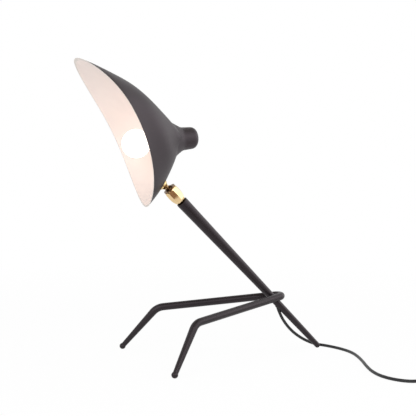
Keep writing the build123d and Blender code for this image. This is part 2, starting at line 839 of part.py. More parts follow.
cover -= Pos(0, 0, switch_base_height) * extrude(hollow, switch_cover_height - switch_wall)
screws = Part()
for place in screw_places:
    base += place * Pos(0, 0, switch_wall) * extrude(
        Circle(post_diameter / 2), switch_base_height - switch_wall
    )
    cover += place * Pos(0, 0, switch_base_height) * extrude(
        Circle(post_diameter / 2), switch_cover_height - switch_wall
    )
    shank = extrude(Circle(switch_screw_radius), switch_screw_length)
    head = extrude(Circle(switch_screw_head / 2), switch_screw_head_height)
    base -= place * extrude(Circle(switch_screw_head / 2 + push_fit), switch_screw_head_height)
    shank_hole = extrude(Circle(switch_screw_radius + push_fit), switch_screw_length)
    base -= place * shank_hole
    cover -= place * shank_hole
    screws += place * (shank + head)
pivot_height = switch_top - rocker_pivot_drop
lug_inside = rocker_width / 2 + rocker_gap
lug_height = rocker_pivot_drop - switch_wall + lug_depth
lug_middle = pivot_height - lug_depth + lug_height / 2
for side in (-1, 1):
    lug_place = Pos(0, side * (lug_inside + lug_thickness / 2), lug_middle)
    cover += lug_place * Box(lug_width, lug_thickness, lug_height)
window_length = rocker_length + rocker_gap * 2
window_width = rocker_width + rocker_gap * 2
cover -= Pos(0, 0, switch_top) * Box(window_length, window_width, switch_cover_height)
pivot_place = Pos(0, 0, pivot_height)
pivot_radius = rocker_pivot_diameter / 2
pivot_length = (lug_inside + lug_thickness) * 2
cover -= pivot_place * Rot(90, 0, 0) * Cylinder(pivot_radius + running_fit, pivot_length)
switch_place = switch_frame.location * switch_middle
nodes["switch_base"] = switch_place * base
nodes["switch_cover"] = switch_place * cover
nodes["switch_screws"] = switch_place * screws

# Rocker, pressed down at its lamp end
half_rocker = rocker_length / 2
rocker_outline = [
    ThreePointArc((-half_rocker, rocker_rise), (0, rocker_rise - rocker_dip), (half_rocker, rocker_rise)),
    Polyline(
        (half_rocker, rocker_rise),
        (half_rocker, -rocker_skirt),
        (rocker_foot_width / 2, -rocker_depth),
        (-rocker_foot_width / 2, -rocker_depth),
        (-half_rocker, -rocker_skirt),
        (-half_rocker, rocker_rise),
    ),
]
rocker = extrude(Plane.XZ * make_face(rocker_outline), rocker_width / 2, both=True)
rocker += Rot(90, 0, 0) * Cylinder(pivot_radius, pivot_length)
nodes["switch_rocker"] = switch_place * pivot_place * Rot(0, -rocker_tilt, 0) * rocker

# Terminals on the switch's floor, and the spring lever that bridges them
terminals = Part()
for side in (-1, 1):
    block = Pos(side * terminal_along, -side * terminal_across, switch_wall) * extrude(
        Rectangle(terminal_length, terminal_width), terminal_height
    )
    bore = Pos(side * terminal_along, -side * terminal_across, switch_wall + terminal_height / 2)
    terminals += block - bore * Rot(0, 90, 0) * Cylinder(terminal_hole / 2, terminal_length)
nodes["switch_terminals"] = switch_place * terminals
lever_length = terminal_along * 2 - terminal_length
lever = Pos(-terminal_length / 2, terminal_across, switch_wall + terminal_height) * extrude(
    Rectangle(lever_length + terminal_length, lever_width), lever_thickness
)
nodes["switch_lever"] = switch_place * lever

# Coil: one cord that spirals in on the floor, climbs a layer where it turns back, and spirals out again
coil_floor = cord_radius + tie_thickness + tie_gap
coil_middle_turn = coil_turns / 2


def coil_radius_at(turn):
    """The coil's radius after that many turns."""
    return coil_inner_radius + coil_pitch * abs(turn - coil_middle_turn)


def coil_point(turn):
    """A point on the coil's centre line after that many turns."""
    angle = math.radians(coil_start_angle) + 2 * math.pi * turn
    climbed = min(max((turn - coil_middle_turn) / climb_turns + 1 / 2, 0), 1)
    height = coil_floor + coil_pitch * (1 - math.cos(math.pi * climbed)) / 2
    centre_x, centre_y = coil_centre
    radius = coil_radius_at(turn)
    return Vector(centre_x + radius * math.cos(angle), centre_y + radius * math.sin(angle), height)


def coil_tangent(turn):
    """The coil's direction after that many turns."""
    near_turns = 1 / steps_per_turn / steps_per_turn
    return (coil_point(turn + near_turns) - coil_point(turn - near_turns)).normalized()


def biarc(start, start_way, end, end_way):
    """Two arcs that leave one point and reach another along the given directions."""
    chord = end - start
    ways = start_way + end_way
    bend = 2 * (1 - start_way.dot(end_way))
    along = chord.dot(ways)
    reach = (math.sqrt(along ** 2 + bend * chord.dot(chord)) - along) / bend
    joint = (start + end + (start_way - end_way) * reach) / 2
    first = TangentArc(start, joint, tangent=start_way)
    return [first, TangentArc(joint, end, tangent=first % 1)]


start_angle = math.radians(coil_start_angle)
end_way = Vector(-math.sin(start_angle), math.cos(start_angle), 0)
coil_steps = coil_turns * steps_per_turn
coil_places = [coil_point(step / steps_per_turn) for step in range(coil_steps + 1)]
coil_ways = [coil_tangent(step / steps_per_turn) for step in range(coil_steps + 1)]
coil_ways[0] = end_way
coil_ways[-1] = end_way
coil_entry = coil_places[0] - end_way * cord_diameter
coil_exit = coil_places[-1] + end_way * cord_diameter
coil_edges = [Line(coil_entry, coil_places[0])]
for step in range(coil_steps):
    coil_edges += biarc(coil_places[step], coil_ways[step], coil_places[step + 1], coil_ways[step + 1])
coil_edges.append(Line(coil_places[-1], coil_exit))
coil_path = Wire(coil_edges)
nodes["cord_coil"] = tube_along(coil_path, cord_diameter, "coil")

# The coil's least gap to itself, measured on points along it
samples_per_turn = 48
sample_count = coil_turns * samples_per_turn
samples = [coil_path.position_at(number / sample_count) for number in range(sample_count + 1)]
far_apart = samples_per_turn // 3
least = min(
    (samples[one] - samples[other]).length
    for one in range(len(samples))
    for other in range(one + far_apart, len(samples))
)
print(f"coil's least gap to itself {least - cord_diameter:.2f} mm")

# Cord from the switch to the coil
switch_exit = switch_frame.location * Pos(switch_length, 0, switch_end.Z)
second_route = [tuple(switch_exit.position)] + switch_to_coil_route
second_route += [tuple(coil_entry - end_way * coil_lead_in), tuple(coil_entry)]
second_path, second_radii = route_wire(second_route)
print("cord radii to the coil:", [round(radius, 1) for radius in second_radii])
nodes["cord_to_coil"] = tube_along(second_path, cord_diameter, "cord to coil")

# Cord from the coil to the plug
tail_points = [coil_exit]
for forward, drop in tail_route:
    tail_points.append(coil_exit + end_way * forward - Vector(0, 0, drop))
tail_path, tail_radii = route_wire([tuple(point) for point in tail_points])
print("cord radii to the plug:", [round(radius, 1) for radius in tail_radii])
nodes["cord_to_plug"] = tube_along(tail_path, cord_diameter, "cord to plug")

# Tie round the coil's turns
tie_turns = (tie_angle - coil_start_angle) / 360
tied = [coil_radius_at(tie_turns + number) for number in range(coil_turns)]
tie_inner_width = max(tied) - min(tied) + cord_diameter + tie_side_gap * 2
tie_inner_height = coil_pitch + cord_diameter + tie_gap * 2
tie_round = cord_radius + tie_gap
band = RectangleRounded(
    tie_inner_width + tie_thickness * 2, tie_inner_height + tie_thickness * 2, tie_round + tie_thickness
)
band -= RectangleRounded(tie_inner_width, tie_inner_height, tie_round)
tie_way = Vector(math.cos(math.radians(tie_angle)), math.sin(math.radians(tie_angle)), 0)
tie_middle = Vector(*coil_centre, coil_floor + coil_pitch / 2) + tie_way * (max(tied) + min(tied)) / 2
tie_frame = Plane(origin=tie_middle, x_dir=tie_way, z_dir=tie_way.cross(Vector(0, 0, 1)))
nodes["cord_tie"] = tie_frame.location * extrude(band, tie_width / 2, both=True)

# Plug: a moulded body with a tapered strain relief, and two pins
plug_frame = Plane(origin=tail_points[-1], x_dir=end_way, z_dir=(0, 0, 1))
relief = Rot(0, 90, 0) * Solid.make_cone(relief_end_diameter / 2, relief_root_diameter / 2, relief_length)
shoulder = plug_length * plug_shoulder_share
plug_outline = make_face(Polyline(
    (0, -plug_tail_width / 2),
    (shoulder, -plug_width / 2),
    (plug_length, -plug_nose_width / 2),
    (plug_length, plug_nose_width / 2),
    (shoulder, plug_width / 2),
    (0, plug_tail_width / 2),
    close=True,
))
plug = extrude(plug_outline, plug_height / 2, both=True)
plug = fillet(plug.edges(), plug_round)
plug = Pos(relief_length - relief_sunk, 0, 0) * plug + relief
plug_face = relief_length - relief_sunk + plug_length
pin_radius = pin_diameter / 2
pins = Part()
for side in (-1, 1):
    pin_place = Pos(plug_face - pin_root_length, side * pin_spacing / 2, 0) * Rot(0, 90, 0)
    pin = extrude(Circle(pin_radius), pin_root_length + pin_length - pin_radius)
    pin += Pos(0, 0, pin_root_length + pin_length - pin_radius) * Sphere(pin_radius)
    pins += pin_place * pin
    plug -= pin_place * extrude(Circle(pin_radius + push_fit), pin_root_length + overrun)
nodes["plug_body"] = plug_frame.location * plug
nodes["plug_pins"] = plug_frame.location * pins

cord_length = first_path.length + switch_length + second_path.length + coil_path.length + tail_path.length
print(f"cord from the stem to the plug {cord_length:.0f} mm")
print("ball centre", ball_centre, "neck axis", neck_up, "stem axis", stem_up)
print("rocker pivot", (switch_place * pivot_place).position, "switch x", switch_frame.x_dir)

os.makedirs("parts", exist_ok=True)
for node, shape in nodes.items():
    export_step(shape, f"parts/{node}.step")
    box = shape.bounding_box()
    print(f"{node}: {len(shape.solids())} solid, {shape.volume:.0f} mm3, {box.min}, {box.max}")
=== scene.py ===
# %% [markdown]
# # A desk lamp on three thin legs
# The solids come from the construction model, packed as a fixed frame in metres. This lesson dresses
# them: it places a camera, lays the cord, paints the metal, polishes the brass and lights the bulb.
# We load the frame first. Nothing that we add may make the lamp larger.

# %% Load the frame
import math

import bmesh
import bpy
from mathutils import Matrix, Vector


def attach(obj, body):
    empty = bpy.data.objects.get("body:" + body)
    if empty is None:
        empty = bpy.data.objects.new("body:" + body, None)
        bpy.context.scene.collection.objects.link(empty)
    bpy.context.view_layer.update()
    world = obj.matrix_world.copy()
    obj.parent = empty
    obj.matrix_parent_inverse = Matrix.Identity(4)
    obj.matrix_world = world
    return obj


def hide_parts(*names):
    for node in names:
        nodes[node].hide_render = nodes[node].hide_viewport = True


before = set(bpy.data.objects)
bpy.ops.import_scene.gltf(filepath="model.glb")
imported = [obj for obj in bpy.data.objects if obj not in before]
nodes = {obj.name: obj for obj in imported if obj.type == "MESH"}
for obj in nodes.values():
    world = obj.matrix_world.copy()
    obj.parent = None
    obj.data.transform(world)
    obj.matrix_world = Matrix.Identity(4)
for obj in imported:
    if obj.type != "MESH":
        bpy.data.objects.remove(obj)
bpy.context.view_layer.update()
scene = bpy.context.scene

# %% [markdown]
# ## The camera
# The picture was taken from a little to the left of the lamp's side and slightly above its middle, from
# far away with a long lens, so the lamp looks almost flat-on. A constraint on an empty object could aim
# the camera, but a matrix needs no helper object. We give the camera its place, its viewing direction
# and its own "up", and build its matrix from these three. A camera looks along its own -Z.

# %% Place the camera
camera_place = Vector((-0.6637, -1.5584, 0.3530))
looking_along = Vector((0.3944, 0.9167, -0.0635)).normalized()
camera_data = bpy.data.cameras.new("camera")
camera_data.lens = 90.5
camera_data.sensor_width = 36.0
camera_data.clip_start = 0.05
camera = bpy.data.objects.new("camera", camera_data)
scene.collection.objects.link(camera)
side_of_view = looking_along.cross(Vector((0, 0, 1))).normalized()
top_of_view = side_of_view.cross(looking_along)
turn = Matrix((side_of_view, top_of_view, -looking_along)).transposed()
camera.matrix_world = Matrix.Translation(camera_place) @ turn.to_4x4()
scene.camera = camera
print("camera lens", camera_data.lens, "mm")

# %% [markdown]
# ## The cord
# A thin black flex leaves the stem's underside, droops beside the rear leg to the floor, curls round
# the foot and comes forward to an in-line switch. Beyond the switch the spare length is wound into a
# neat coil that ends in a plug. The solid tube could be shown as it is, but it is made of straight runs
# and arcs, and a flex is one smooth curve. So each stretch is a NURBS spline, which passes near its
# points without kinks. The points lie close to the ones the solid tube was built on.

# %% Lay the cord
cord_diameter = 0.005
stem_exit = (0.13530, 0.0, 0.07167)
to_switch = [
    (0.1410, 0.0010, 0.0590),
    (0.1522, 0.0040, 0.0438),
    (0.1680, 0.0085, 0.0286),
    (0.1880, 0.0130, 0.0152),
    (0.2064, 0.0155, 0.0064),
    (0.2170, 0.0130, 0.0028),
    (0.2250, 0.0010, 0.0026),
    (0.2320, -0.0180, 0.0025),
    (0.2370, -0.0430, 0.0025),
    (0.2370, -0.0710, 0.0025),
    (0.2290, -0.1030, 0.0025),
    (0.2165, -0.1380, 0.0025),
    (0.2025, -0.1720, 0.0025),
    (0.1905, -0.2060, 0.0025),
    (0.1850, -0.2400, 0.0025),
    (0.1915, -0.2710, 0.0025),
    (0.2090, -0.2940, 0.0030),
    (0.2300, -0.3045, 0.0080),
    (0.2510, -0.3080, 0.0080),
]


def lay_cord(name, points):
    """A round flex along a smooth spline. Each control point's radius carries the thickness."""
    curve = bpy.data.curves.new(name, "CURVE")
    curve.dimensions = "3D"
    curve.bevel_depth = 1.0
    curve.bevel_resolution = 5
    curve.resolution_u = 8
    curve.use_fill_caps = True
    spline = curve.splines.new("NURBS")
    spline.points.add(len(points) - 1)
    for place, point in zip(spline.points, points):
        place.co = (*point, 1)
        place.radius = cord_diameter / 2
    spline.order_u = 3
    spline.use_endpoint_u = True
    cord = bpy.data.objects.new(name, curve)
    scene.collection.objects.link(cord)
    print(name, len(points), "points,", round(spline.calc_length(), 3), "m")
    return cord


lamp_cord_points = [stem_exit] + to_switch
lamp_cord = lay_cord("lamp_cord", lamp_cord_points)

# %% [markdown]
# The spare length is wound flat, in two layers. Points set by hand would leave bumps, so the coil is
# drawn by a rule. The radius shrinks by one pitch per turn until the middle, then grows again, and the
# height climbs one layer in the half turn where the spiral turns back. Sixteen points per turn keep the
# spline close to a true spiral.

# %% Wind the spare length
coil_middle = Vector((0.3350, -0.2586))
coil_inner_radius = 0.0215
coil_pitch = 0.0056
coil_turns = 6
coil_floor = 0.0038
climb_turns = 0.5
points_per_turn = 16
coil_start = math.radians(-15.0)
coil_way = Vector((-math.sin(coil_start), math.cos(coil_start), 0))


def coil_point(turns):
    """A point on the coil's centre line after that many turns."""
    from_middle = turns - coil_turns / 2
    radius = coil_inner_radius + coil_pitch * abs(from_middle)
    climbed = min(max(from_middle / climb_turns + 0.5, 0), 1)
    height = coil_floor + coil_pitch * (1 - math.cos(math.pi * climbed)) / 2
    angle = coil_start + math.tau * turns
    across = coil_middle + radius * Vector((math.cos(angle), math.sin(angle)))
    return Vector((across.x, across.y, height))


switch_way = Vector((0.986394, -0.164399, 0))
switch_length = 0.058
switch_exit = Vector(to_switch[-1]) + switch_way * switch_length
coil_in = coil_point(0) - coil_way * cord_diameter
coil_out = coil_point(coil_turns) + coil_way * cord_diameter
turn_count = coil_turns * points_per_turn
coil_points = [coil_point(step / points_per_turn) for step in range(turn_count + 1)]
coil_lead_in = 0.017
between = [(0.3260, -0.3205, 0.0080), (0.3475, -0.3120, 0.0046)]
to_coil = [switch_exit] + between + [coil_in - coil_way * coil_lead_in]
tail_steps = [(0.016, 0.0), (0.032, 0.0016), (0.046, 0.0024), (0.058, 0.0024)]
tail = [coil_out + coil_way * forward - Vector((0, 0, drop)) for forward, drop in tail_steps]
mains_cord_points = to_coil + [coil_in] + coil_points + [coil_out] + tail
mains_cord = lay_cord("mains_cord", mains_cord_points)

# %% [markdown]
# The two smooth curves stand for the four tubes of the construction model, which are hidden. Both lie
# still with the stand, and share one kind of plastic.

# %% Let the cords stand for their solids
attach(lamp_cord, "stand")
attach(mains_cord, "stand")
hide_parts("cord_to_switch")
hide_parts("cord_to_coil", "cord_coil", "cord_to_plug")
print("cord pieces:", lamp_cord.name, mains_cord.name)

# %% [markdown]
# ## Shared surface effects
# Real paint, plastic and metal are never perfectly even. Pictures of surfaces could be laid over them,
# but noise textures have no seams and need no files. Three small node groups give the unevenness that
# several finishes share: a fine grain with broad mottling, the smudges and hairlines of handling, and
# the thin dust that settles on what faces up. Each is built once and placed in many materials.

# %% Helpers for shader nodes
def new_group(name, inputs, outputs):
    """An empty shader group with named number sockets."""
    group = bpy.data.node_groups.new(name, "ShaderNodeTree")
    for title, value in inputs:
        socket = group.interface.new_socket(title, in_out="INPUT", socket_type="NodeSocketFloat")
        socket.default_value = value
    for title in outputs:
        group.interface.new_socket(title, in_out="OUTPUT", socket_type="NodeSocketFloat")
    start = group.nodes.new("NodeGroupInput")
    end = group.nodes.new("NodeGroupOutput")
    return group, start, end


def add_noise(tree, place, scale_from, detail, stretch=None):
    """A noise texture on Object coordinates, with its scale from a socket, as a value socket."""
    noise = tree.nodes.new("ShaderNodeTexNoise")
    noise.inputs["Detail"].default_value = detail
    if stretch:
        mapping = tree.nodes.new("ShaderNodeMapping")
        mapping.inputs["Scale"].default_value = stretch
        tree.links.new(place, mapping.inputs["Vector"])
        place = mapping.outputs["Vector"]
    tree.links.new(place, noise.inputs["Vector"])
    tree.links.new(scale_from, noise.inputs["Scale"])
    return noise.outputs["Fac"]


def add_range(tree, value, low, high, to_low=0.0, to_high=1.0):
    """Stretches a value from one range to another."""
    node = tree.nodes.new("ShaderNodeMapRange")
    ends = {"From Min": low, "From Max": high, "To Min": to_low, "To Max": to_high}
    for title, number in ends.items():
        node.inputs[title].default_value = number
    tree.links.new(value, node.inputs["Value"])
    return node.outputs["Result"]


print("helpers:", new_group.__name__, add_noise.__name__, add_range.__name__)

# %% Build the node groups
surface_grain, start, end = new_group(
    "surface_grain", [("Grain scale", 900.0), ("Mottle scale", 18.0)], ["Grain", "Mottle"]
)
coordinates = surface_grain.nodes.new("ShaderNodeTexCoord").outputs["Object"]
grain = add_noise(surface_grain, coordinates, start.outputs["Grain scale"], 3.0)
mottle = add_noise(surface_grain, coordinates, start.outputs["Mottle scale"], 4.0)
surface_grain.links.new(grain, end.inputs["Grain"])
surface_grain.links.new(add_range(surface_grain, mottle, 0.3, 0.7), end.inputs["Mottle"])

handling, start, end = new_group(
    "handling_marks", [("Smudge scale", 70.0), ("Hairline scale", 260.0)], ["Smudge", "Hairline"]
)
coordinates = handling.nodes.new("ShaderNodeTexCoord").outputs["Object"]
smudge = add_noise(handling, coordinates, start.outputs["Smudge scale"], 5.0)
hairline_stretch = (1.0, 14.0, 1.0)
hairline = add_noise(handling, coordinates, start.outputs["Hairline scale"], 2.0, hairline_stretch)
handling.links.new(add_range(handling, smudge, 0.35, 0.7), end.inputs["Smudge"])
handling.links.new(hairline, end.inputs["Hairline"])

settled_dust, start, end = new_group("settled_dust", [("Speck scale", 1500.0)], ["Dust"])
texture_place = settled_dust.nodes.new("ShaderNodeTexCoord")
facing = settled_dust.nodes.new("ShaderNodeSeparateXYZ")
settled_dust.links.new(texture_place.outputs["Normal"], facing.inputs["Vector"])
facing_up = add_range(settled_dust, facing.outputs["Z"], 0.2, 1.0)
specks = add_noise(settled_dust, texture_place.outputs["Object"], start.outputs["Speck scale"], 2.0)
fall = settled_dust.nodes.new("ShaderNodeMath")
fall.operation = "MULTIPLY"
settled_dust.links.new(facing_up, fall.inputs[0])
settled_dust.links.new(add_range(settled_dust, specks, 0.45, 0.75), fall.inputs[1])
settled_dust.links.new(fall.outputs["Value"], end.inputs["Dust"])
print("groups:", [group.name for group in bpy.data.node_groups])

# %% [markdown]
# ## Finishes
# The lamp is painted metal, bare metal and moulded plastic. Each material could be wired by hand in the
# shader editor, but most of them differ only in their numbers. So a finish is one recipe: two close
# colours that the mottling mixes, a range of roughness, a grain that bumps the surface, and, on what
# stands about, a little dust. Numbers that are the same all over go straight onto the shader, so that
# they survive the export.

# %% Helpers for materials
def place_group(tree, group, **numbers):
    """Puts a shared group into a material, with its own values."""
    node = tree.nodes.new("ShaderNodeGroup")
    node.node_tree = group
    for title, number in numbers.items():
        node.inputs[title.replace("_", " ")].default_value = number
    return node


def mix_colours(tree, share, first, second):
    """Mixes two colours by a value. Each colour is a tuple or a socket."""
    mix = tree.nodes.new("ShaderNodeMix")
    mix.data_type = "RGBA"
    tree.links.new(share, mix.inputs["Factor"])
    for title, colour in (("A", first), ("B", second)):
        socket = [entry for entry in mix.inputs if entry.name == title and entry.type == "RGBA"][0]
        if isinstance(colour, tuple):
            socket.default_value = (*colour, 1.0)
        else:
            tree.links.new(colour, socket)
    return [entry for entry in mix.outputs if entry.type == "RGBA"][0]


def new_finish(name):
    """A material with its Principled shader."""
    finish = bpy.data.materials.new(name)
    finish.use_nodes = True
    return finish, finish.node_tree, finish.node_tree.nodes["Principled BSDF"]


def add_bump(tree, shader, height, depth, strength=0.5):
    """Bumps a surface by a height that is that many metres deep."""
    bump = tree.nodes.new("ShaderNodeBump")
    bump.inputs["Strength"].default_value = strength
    bump.inputs["Distance"].default_value = depth
    tree.links.new(height, bump.inputs["Height"])
    tree.links.new(bump.outputs["Normal"], shader.inputs["Normal"])


print("helpers:", place_group.__name__, mix_colours.__name__, new_finish.__name__, add_bump.__name__)

# %% Recipes for coated and for polished surfaces
dust_colour = (0.42, 0.40, 0.38)


def coated(
    name, colour, second, smooth, rough, grain, depth,
    dust=0.0, specular=0.5, mottle=18.0, sheen=(1, 1, 1),
):
    """Paint or moulded plastic: mottled colour, uneven roughness, fine grain and some dust."""
    finish, tree, shader = new_finish(name)
    skin = place_group(tree, surface_grain, Grain_scale=grain, Mottle_scale=mottle)
    base = mix_colours(tree, skin.outputs["Mottle"], colour, second)
    if dust:
        fallen = place_group(tree, settled_dust)
        thin = add_range(tree, fallen.outputs["Dust"], 0.0, 1.0, 0.0, dust)
        base = mix_colours(tree, thin, base, dust_colour)
    tree.links.new(base, shader.inputs["Base Color"])
    tree.links.new(
        add_range(tree, skin.outputs["Mottle"], 0.0, 1.0, smooth, rough), shader.inputs["Roughness"]
    )
    shader.inputs["Specular IOR Level"].default_value = specular
    shader.inputs["Specular Tint"].default_value = (*sheen, 1)
    add_bump(tree, shader, skin.outputs["Grain"], depth)
    return finish


def polished(name, colour, second, smooth, rough, depth):
    """Bare metal: clear reflections, with smudges and hairlines."""
    finish, tree, shader = new_finish(name)
    marks = place_group(tree, handling)
    base = mix_colours(tree, marks.outputs["Smudge"], colour, second)
    tree.links.new(base, shader.inputs["Base Color"])
    shader.inputs["Metallic"].default_value = 1.0
    tree.links.new(
        add_range(tree, marks.outputs["Smudge"], 0.0, 1.0, smooth, rough), shader.inputs["Roughness"]
    )
    add_bump(tree, shader, marks.outputs["Hairline"], depth, strength=0.25)
    return finish


print("recipes:", coated.__name__, polished.__name__)

# %% [markdown]
# Now the recipes get their numbers: the two colours, the smoothest and the roughest place, the fineness
# of the grain and its depth in metres. The stand and the shade have a satin black paint with a slightly
# warm sheen, and the shade is a warm white inside. The swivel is bare brass, which takes the second
# recipe, with clear reflections and no dust. Its ring and ball take a brass painted dark: painted shade
# and painted dark reflection in the socket's mouth.

# %% Mix the paints
warm_sheen = (1.0, 0.82, 0.92)
black_coat = coated(
    "black_coat", (0.010, 0.009, 0.009), (0.015, 0.013, 0.014), smooth=0.32, rough=0.42,
    grain=1400.0, depth=0.00001, dust=0.03, specular=0.30, sheen=warm_sheen,
)
shade_black = coated(
    "shade_black", (0.020, 0.018, 0.019), (0.025, 0.022, 0.024), smooth=0.44, rough=0.52,
    grain=1600.0, depth=0.00001, dust=0.03, specular=0.45, sheen=warm_sheen,
)
shade_white = coated(
    "shade_white", (0.84, 0.735, 0.69), (0.87, 0.765, 0.72), smooth=0.50, rough=0.60,
    grain=1300.0, depth=0.00003,
)
rim_edge = coated(
    "rim_edge", (0.66, 0.60, 0.55), (0.74, 0.68, 0.63), smooth=0.40, rough=0.50,
    grain=1300.0, depth=0.00002,
)
print("paints:", black_coat.name, shade_black.name, shade_white.name, rim_edge.name)

# %% Mix the plastics
flex_black = coated(
    "flex_black", (0.010, 0.010, 0.011), (0.015, 0.015, 0.016), smooth=0.42, rough=0.52,
    grain=700.0, depth=0.00004, dust=0.05, specular=0.35,
)
moulded_black = coated(
    "moulded_black", (0.018, 0.018, 0.019), (0.025, 0.025, 0.026), smooth=0.46, rough=0.56,
    grain=2200.0, depth=0.00005, dust=0.05,
)
holder_black = coated(
    "holder_black", (0.020, 0.019, 0.019), (0.028, 0.026, 0.026), smooth=0.30, rough=0.40,
    grain=900.0, depth=0.00002,
)
nylon = coated(
    "nylon", (0.70, 0.68, 0.63), (0.76, 0.74, 0.69), smooth=0.40, rough=0.50,
    grain=900.0, depth=0.00003,
)
rubber_black = coated(
    "rubber_black", (0.016, 0.016, 0.016), (0.024, 0.024, 0.024), smooth=0.62, rough=0.74,
    grain=1200.0, depth=0.00004,
)
loop_tape = coated(
    "loop_tape", (0.014, 0.014, 0.015), (0.030, 0.030, 0.032), smooth=0.80, rough=0.92,
    grain=2600.0, depth=0.00015, mottle=900.0,
)
print("plastics:", flex_black.name, moulded_black.name, holder_black.name, nylon.name)

# %% Mix the metals
brass = polished(
    "brass", (0.79, 0.59, 0.33), (0.72, 0.52, 0.27), smooth=0.10, rough=0.20, depth=0.00001
)
plain_brass = polished(
    "plain_brass", (0.78, 0.58, 0.28), (0.70, 0.50, 0.22), smooth=0.24, rough=0.36, depth=0.00002
)
# Brass painted dark for the swivel's ring and ball: painted shade and painted dark reflection in the
# socket's mouth.
dark_brass = polished(
    "dark_brass", (0.20, 0.115, 0.055), (0.15, 0.085, 0.040), smooth=0.22, rough=0.34, depth=0.00001
)
steel = polished(
    "steel", (0.62, 0.62, 0.63), (0.55, 0.55, 0.56), smooth=0.26, rough=0.38, depth=0.00002
)
nickel = polished(
    "nickel", (0.76, 0.75, 0.73), (0.68, 0.67, 0.65), smooth=0.12, rough=0.22, depth=0.00001
)
print(len(bpy.data.materials), "materials")

# %% [markdown]
# The bulb is an opal globe that is switched on. Opal glass scatters its light, so the globe looks like
# an even, slightly warm ball. We let the glass itself shine: it lights the shade's inside, and moves
# with the shade when the swivel turns, which a separate lamp would not do.

# %% Light the bulb
bulb_strength = 2.3
opal_glass, tree, shader = new_finish("opal_glass")
glass_skin = place_group(tree, surface_grain, Grain_scale=500.0, Mottle_scale=30.0)
tree.links.new(
    mix_colours(tree, glass_skin.outputs["Mottle"], (0.95, 0.93, 0.90), (0.90, 0.88, 0.85)),
    shader.inputs["Base Color"],
)
shader.inputs["Roughness"].default_value = 0.25
tree.links.new(
    mix_colours(tree, glass_skin.outputs["Mottle"], (1.0, 0.90, 0.79), (1.0, 0.88, 0.76)),
    shader.inputs["Emission Color"],
)
shader.inputs["Emission Strength"].default_value = bulb_strength
print("globe glows at", bulb_strength)

# %% [markdown]
# ## The shade
# The shade is one shell of thin sheet, black outside, white inside, with a pale edge. It could be
# modelled again with a subdivision surface, but the solid already has the right form, so we copy its
# mesh and merge its loose triangles. One mesh then carries three finishes. The cut edge is found by its
# place. Creases divide the other faces into smooth stretches: the outside, the inside and a hole or two.
# The faces of a stretch vote by their area on the side that they lie on, and the whole stretch gets that
# side's finish.

# %% Tell the shade's sides apart
millimetre = 0.001
shade_lean = math.radians(64.0)
shade_tip = Vector((-0.100183, 0.0, 0.249341))
along_shade = Vector((-math.cos(shade_lean), 0, math.sin(shade_lean)))
behind_shade = Vector((math.sin(shade_lean), 0, math.cos(shade_lean)))
rim_radius = 0.34792
rim_middle = Vector((0.1285, -0.32332))
cut_tolerance = 0.02 * millimetre
cut_facing = 0.985
merge_distance = 0.001 * millimetre
before_bulb = Vector((0.1155, 0.0, -0.0200))


def in_shade(point):
    """A point's place along the shade, across it and behind its front edge."""
    offset = point - shade_tip
    return Vector((offset.dot(along_shade), offset.y, offset.dot(behind_shade)))


def on_cut(face):
    """Whether a face lies on the cut front edge: its corners are on the cut, and it faces the front."""
    for corner in face.verts:
        place = in_shade(corner.co)
        from_rim = Vector((place.x, place.z)) - rim_middle
        if abs(from_rim.length - rim_radius) > cut_tolerance:
            return False
    way = Vector((face.normal.dot(along_shade), face.normal.dot(behind_shade)))
    return way.dot(from_rim.normalized()) < -cut_facing


def face_side(face):
    """The side that a face of the shade seems to lie on: 0 outside, 1 inside."""
    place = in_shade(face.calc_center_median())
    way = Vector((face.normal.dot(along_shade), face.normal.y, face.normal.dot(behind_shade)))
    return 0 if way.dot(place - before_bulb) > 0 else 1


print("front edge on a circle of", rim_radius, "m")

# %% Follow the smooth stretches of a mesh
def smooth_stretches(faces, crease):
    """Groups of these faces that meet without a crease."""
    waiting = set(faces)
    stretches = []
    while waiting:
        front = [waiting.pop()]
        stretch = []
        while front:
            face = front.pop()
            stretch.append(face)
            for edge in face.edges:
                if len(edge.link_faces) != 2 or edge.calc_face_angle() > crease:
                    continue
                for neighbour in edge.link_faces:
                    if neighbour in waiting:
                        waiting.remove(neighbour)
                        front.append(neighbour)
        stretches.append(stretch)
    return stretches


def copy_of_node(node, name):
    """A piece with a merged copy of a node's mesh, smooth apart from its edges."""
    mesh = nodes[node].data.copy()
    mesh.name = name
    if mesh.has_custom_normals:
        mesh.attributes.remove(mesh.attributes["custom_normal"])
    work = bmesh.new()
    work.from_mesh(mesh)
    bmesh.ops.remove_doubles(work, verts=work.verts, dist=merge_distance)
    work.to_mesh(mesh)
    work.free()
    piece = bpy.data.objects.new(name, mesh)
    scene.collection.objects.link(piece)
    return piece


print("helpers:", smooth_stretches.__name__, copy_of_node.__name__)

# %% Paint the shade inside and out
crease_angle = math.radians(30)
sharp_angle = math.radians(35)
shade = copy_of_node("shade_shell", "shade")
shade.data.materials.clear()
for finish in (shade_black, shade_white, rim_edge):
    shade.data.materials.append(finish)
work = bmesh.new()
work.from_mesh(shade.data)
work.normal_update()
cut_edge = [face for face in work.faces if on_cut(face)]
sides = [[], [], cut_edge]
for stretch in smooth_stretches(set(work.faces) - set(cut_edge), crease_angle):
    votes = [0.0, 0.0]
    for face in stretch:
        votes[face_side(face)] += face.calc_area()
    sides[votes.index(max(votes))] += stretch
for side, faces in enumerate(sides):
    for face in faces:
        face.material_index = side
        face.smooth = faces is not cut_edge
work.to_mesh(shade.data)
work.free()
shade.data.set_sharp_from_angle(angle=sharp_angle)
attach(shade, "head")
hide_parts("shade_shell")
print("shade faces outside, inside, edge:", [len(faces) for faces in sides])

# %% [markdown]
# ## The other solids
# The remaining pieces keep their solids and only need a finish. A list of finishes, each with its nodes,
# keeps this readable. The last line prints the nodes that aren't on the list: the shade and the cord,
# which have pieces of their own.

